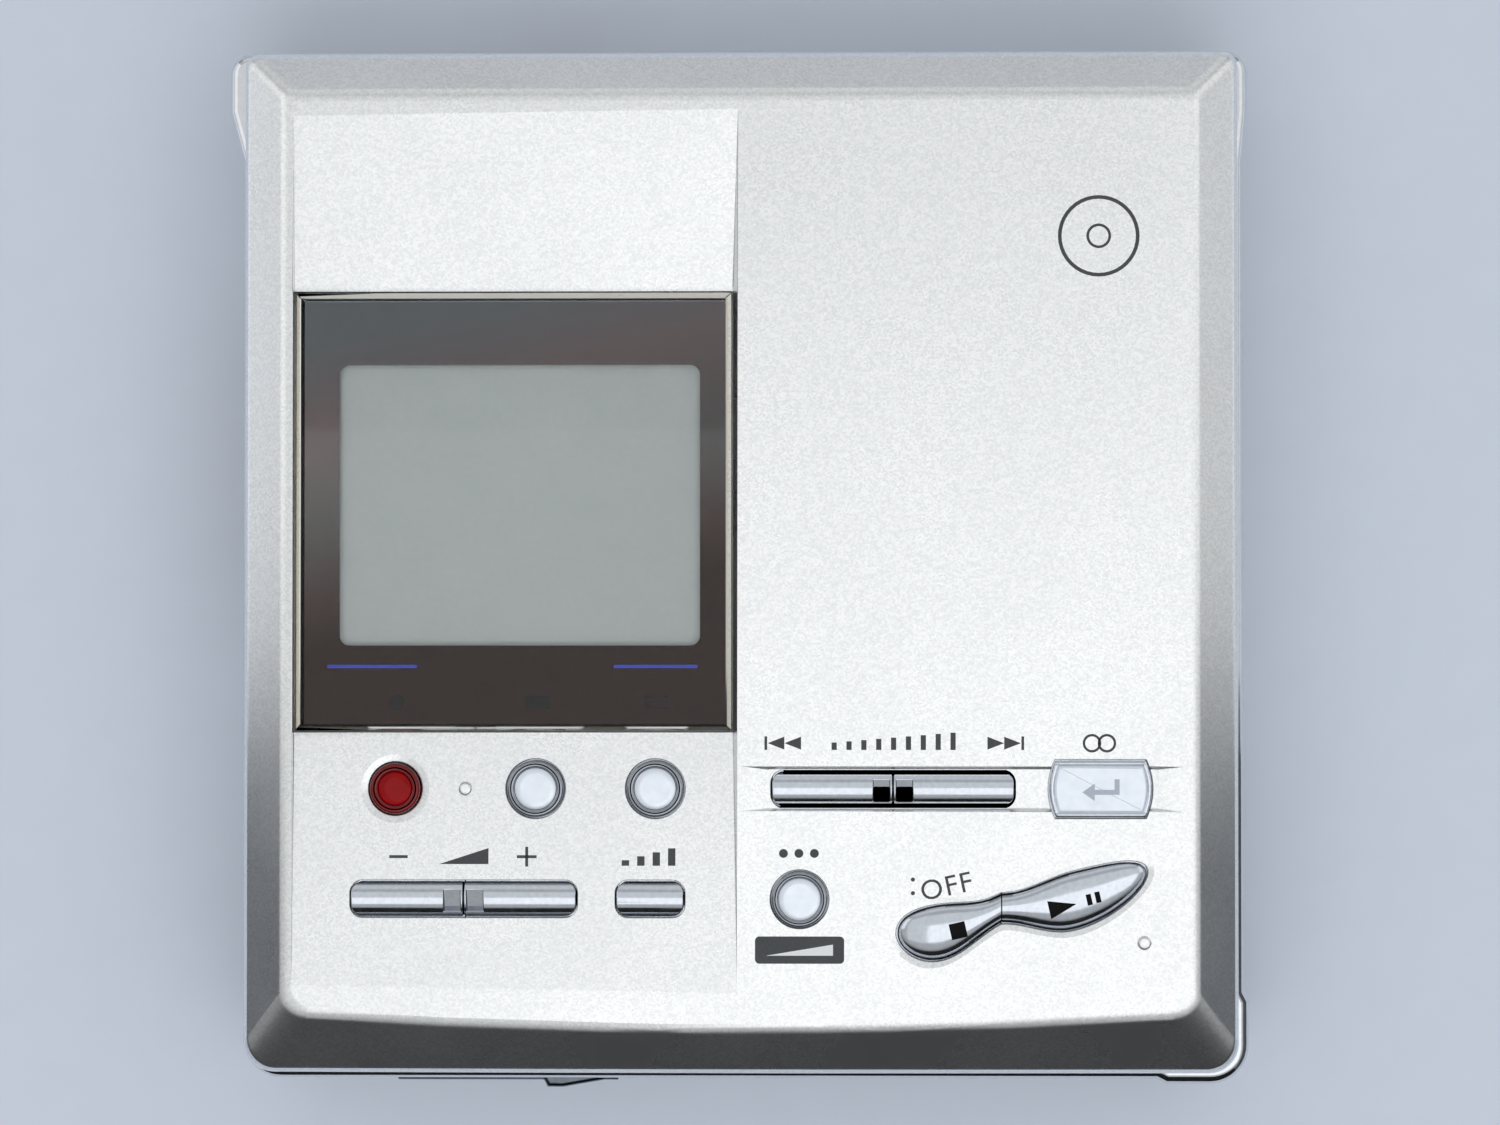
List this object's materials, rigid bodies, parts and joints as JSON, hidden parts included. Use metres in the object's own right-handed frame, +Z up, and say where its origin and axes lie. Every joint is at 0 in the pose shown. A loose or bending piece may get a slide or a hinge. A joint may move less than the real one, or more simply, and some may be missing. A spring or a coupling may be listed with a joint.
{
  "type": "portable minidisc recorder",
  "caption": "Pocket disc recorder: hinged lid with a display tile and press keys over a belted base that holds a tilting disc holder, the drive, sockets and a cell.",
  "frame": {"origin": "middle of the flat base of the bottom cover, on the surface that it lies on", "axes": "+Z up through the lid, +Y to the hinge at the rear, +X to the user's right"},
  "size_m": [0.0842, 0.0857, 0.0255],
  "materials": {
    "silver_paint": "pearl silver metallic paint over light alloy",
    "case_plastic": "satin silver paint over light alloy",
    "chrome_trim": "bright plated",
    "chrome_key": "bright plated",
    "pale_plastic": "pale pearl with a plated rim",
    "red_plastic": "clear deep red",
    "acrylic": "polished",
    "mirror_film": "dark mirror",
    "lcd": "grey-green",
    "white_plastic": "moulded",
    "black_plastic": "moulded",
    "circuit_board": "solder mask",
    "steel": "plain",
    "brass": "plain",
    "rubber": "matte",
    "lens": "coated",
    "cell_wrap": "shrink sleeve"
  },
  "bodies": {
    "base": {"bottom_cover": "case_plastic", "side_frame": "chrome_trim", "case_screws": "steel", "hinge_pins": "steel", "main_board": "circuit_board", "board_chips": "black_plastic", "mechanism_chassis": "steel", "chassis_dampers": "rubber", "spindle_motor": "steel", "sled_motor": "steel", "guide_shafts": "steel", "holder_pins": "steel", "socket_panel": "case_plastic", "headphone_socket": "black_plastic", "microphone_socket": "black_plastic", "line_socket": "black_plastic", "supply_socket": "black_plastic", "cell": "cell_wrap", "cell_contacts": "brass", "cell_door_pin": "steel"},
    "lid": {"top_cover": "silver_paint", "display_tile": "acrylic", "display_film": "mirror_film", "lcd_panel": "lcd", "lcd_frame": "white_plastic", "key_board": "circuit_board", "dome_switches": "steel", "lid_plate": "steel", "lid_screws": "steel", "latch_hook": "steel"},
    "turntable": {"turntable": "steel"},
    "sled": {"pickup_sled": "black_plastic", "pickup_lens": "lens"},
    "lead_screw": {"lead_screw": "steel"},
    "motor_pinion": {"motor_pinion": "brass"},
    "head_arm": {"head_arm": "steel", "magnetic_head": "black_plastic"},
    "disc_holder": {"disc_holder": "steel"},
    "open_lever": {"open_lever": "chrome_trim"},
    "hold_slider": {"hold_slider": "black_plastic"},
    "cell_door": {"cell_door": "case_plastic"},
    "record_button": {"record_button": "red_plastic"},
    "display_button": {"display_button": "pale_plastic"},
    "edit_button": {"edit_button": "pale_plastic"},
    "volume_down_key": {"volume_down_key": "chrome_key"},
    "volume_up_key": {"volume_up_key": "chrome_key"},
    "bass_button": {"bass_button": "chrome_key"},
    "skip_back_key": {"skip_back_key": "chrome_key"},
    "skip_forward_key": {"skip_forward_key": "chrome_key"},
    "enter_button": {"enter_button": "pale_plastic"},
    "mode_button": {"mode_button": "pale_plastic"},
    "stop_key": {"stop_key": "chrome_key"},
    "play_key": {"play_key": "chrome_key"}
  },
  "joints": [
    {"name": "lid_hinge", "type": "hinge", "parent": "base", "child": "lid", "pos_m": [0, 0.0406, 0.0172], "axis": [-1, 0, 0], "range_deg": [0, 55]},
    {"name": "holder_tilt", "type": "hinge", "parent": "base", "child": "disc_holder", "pos_m": [0, 0.0335, 0.011], "axis": [-1, 0, 0], "range_deg": [0, 22.1]},
    {"name": "arm_tilt", "type": "hinge", "parent": "sled", "child": "head_arm", "pos_m": [0, 0.0335, 0.011], "axis": [-1, 0, 0], "range_deg": [0, 22.1]},
    {"name": "sled_slide", "type": "slide", "parent": "base", "child": "sled", "axis": [1, 0, 0], "range_m": [0, 0.0165]},
    {"name": "screw_turn", "type": "hinge", "parent": "base", "child": "lead_screw", "pos_m": [0.02, 0.0105, 0.0062], "axis": [1, 0, 0], "range_deg": [0, 3970]},
    {"name": "pinion_turn", "type": "hinge", "parent": "base", "child": "motor_pinion", "pos_m": [0.005, 0.01416, 0.0062], "axis": [1, 0, 0], "range_deg": [-7940, 0]},
    {"name": "turntable_spin", "type": "hinge", "parent": "base", "child": "turntable", "pos_m": [0, -0.003, 0.01], "axis": [0, 0, 1], "continuous": true},
    {"name": "open_lever_slide", "type": "slide", "parent": "base", "child": "open_lever", "axis": [-1, 0, 0], "range_m": [0, 0.0035], "stiffness_N_per_m": 150},
    {"name": "hold_slide", "type": "slide", "parent": "base", "child": "hold_slider", "axis": [0, -1, 0], "range_m": [0, 0.0022]},
    {"name": "cell_door_hinge", "type": "hinge", "parent": "base", "child": "cell_door", "pos_m": [0.0399, -0.0189, 0.0045], "axis": [0, 0, 1], "range_deg": [0, 90]},
    {"name": "record_button_press", "type": "slide", "parent": "lid", "child": "record_button", "axis": [0, 0, -1], "range_m": [0, 0.0004], "stiffness_N_per_m": 300},
    {"name": "display_button_press", "type": "slide", "parent": "lid", "child": "display_button", "axis": [0, 0, -1], "range_m": [0, 0.0004], "stiffness_N_per_m": 300},
    {"name": "edit_button_press", "type": "slide", "parent": "lid", "child": "edit_button", "axis": [0, 0, -1], "range_m": [0, 0.0004], "stiffness_N_per_m": 300},
    {"name": "volume_down_key_press", "type": "slide", "parent": "lid", "child": "volume_down_key", "axis": [0, 0, -1], "range_m": [0, 0.0004], "stiffness_N_per_m": 300},
    {"name": "volume_up_key_press", "type": "slide", "parent": "lid", "child": "volume_up_key", "axis": [0, 0, -1], "range_m": [0, 0.0004], "stiffness_N_per_m": 300},
    {"name": "bass_button_press", "type": "slide", "parent": "lid", "child": "bass_button", "axis": [0, 0, -1], "range_m": [0, 0.0004], "stiffness_N_per_m": 300},
    {"name": "skip_back_key_press", "type": "slide", "parent": "lid", "child": "skip_back_key", "axis": [0, 0, -1], "range_m": [0, 0.0004], "stiffness_N_per_m": 300},
    {"name": "skip_forward_key_press", "type": "slide", "parent": "lid", "child": "skip_forward_key", "axis": [0, 0, -1], "range_m": [0, 0.0004], "stiffness_N_per_m": 300},
    {"name": "enter_button_press", "type": "slide", "parent": "lid", "child": "enter_button", "axis": [0, 0, -1], "range_m": [0, 0.0004], "stiffness_N_per_m": 300},
    {"name": "mode_button_press", "type": "slide", "parent": "lid", "child": "mode_button", "axis": [0, 0, -1], "range_m": [0, 0.0004], "stiffness_N_per_m": 300},
    {"name": "stop_key_press", "type": "slide", "parent": "lid", "child": "stop_key", "axis": [0, 0, -1], "range_m": [0, 0.0004], "stiffness_N_per_m": 300},
    {"name": "play_key_press", "type": "slide", "parent": "lid", "child": "play_key", "axis": [0, 0, -1], "range_m": [0, 0.0004], "stiffness_N_per_m": 300}
  ],
  "couplings": [
    {"joint": "holder_tilt", "follows": "lid_hinge", "ratio": 0.4},
    {"joint": "arm_tilt", "follows": "lid_hinge", "ratio": 0.4},
    {"joint": "screw_turn", "follows": "sled_slide", "rad_per_m": 4188.8},
    {"joint": "pinion_turn", "follows": "sled_slide", "rad_per_m": -8377.6}
  ]
}
